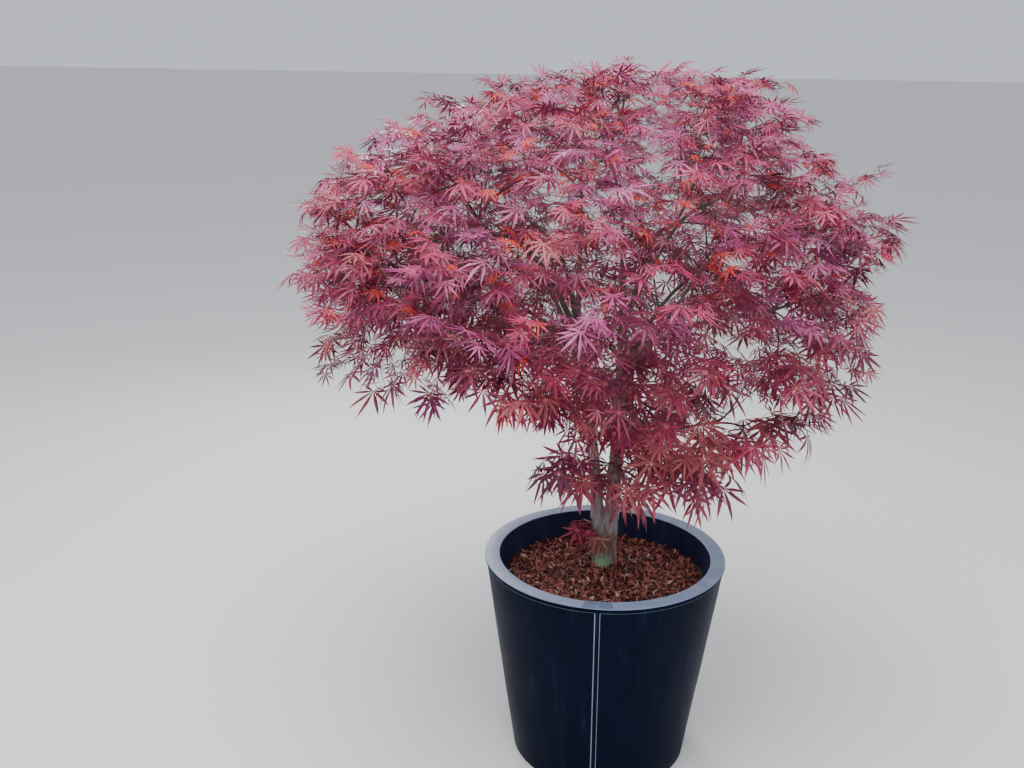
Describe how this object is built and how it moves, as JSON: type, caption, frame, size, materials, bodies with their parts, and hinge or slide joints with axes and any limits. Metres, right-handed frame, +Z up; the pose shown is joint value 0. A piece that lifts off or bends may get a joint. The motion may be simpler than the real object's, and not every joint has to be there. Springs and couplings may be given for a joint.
{
  "type": "potted japanese maple",
  "caption": "Small red-leaved tree on two slim stems in a round tapered metal planter topped with bark mulch.",
  "frame": {"origin": "centre of the flat underside of the pot", "axes": "+Z up; -Y is the front of the pot, where its upright seam is; +X is to the right seen from the front"},
  "size_m": [1.1339, 1.094, 1.3703],
  "materials": {
    "pot_metal": "dark blue-black weathered sheet metal with a paler grey-blue rim and a soft sheen",
    "compost": "moist dark compost, matt",
    "bark_mulch": "red-brown shredded bark chips, matt",
    "bark": "grey-brown streaked bark with an olive green film, rough",
    "foliage": "crimson to mauve hand-shaped leaves with a soft sheen"
  },
  "bodies": {
    "root": {"pot": "pot_metal", "compost": "compost", "bark_mulch": "bark_mulch", "trunk": "bark", "left_stem": "bark", "right_stem": "bark", "skirt_2_bough": "bark", "skirt_1_bough": "bark", "lower_5_bough": "bark", "lower_4_bough": "bark", "lower_3_bough": "bark", "lower_2_bough": "bark", "lower_1_bough": "bark", "middle_6_bough": "bark", "middle_5_bough": "bark", "middle_4_bough": "bark", "middle_3_bough": "bark", "middle_2_bough": "bark", "middle_1_bough": "bark", "upper_5_bough": "bark", "upper_4_bough": "bark", "upper_2_bough": "bark", "upper_1_bough": "bark", "top_foliage": "foliage", "upper_1_foliage": "foliage", "upper_2_foliage": "foliage", "upper_3_foliage": "foliage", "upper_4_foliage": "foliage", "upper_5_foliage": "foliage", "middle_1_foliage": "foliage", "middle_2_foliage": "foliage", "middle_3_foliage": "foliage", "middle_4_foliage": "foliage", "middle_5_foliage": "foliage", "middle_6_foliage": "foliage", "lower_1_foliage": "foliage", "lower_2_foliage": "foliage", "lower_3_foliage": "foliage", "lower_4_foliage": "foliage", "lower_5_foliage": "foliage", "skirt_1_foliage": "foliage", "skirt_2_foliage": "foliage", "left_sprout_foliage": "foliage", "front_sprout_foliage": "foliage"}
  },
  "joints": []
}
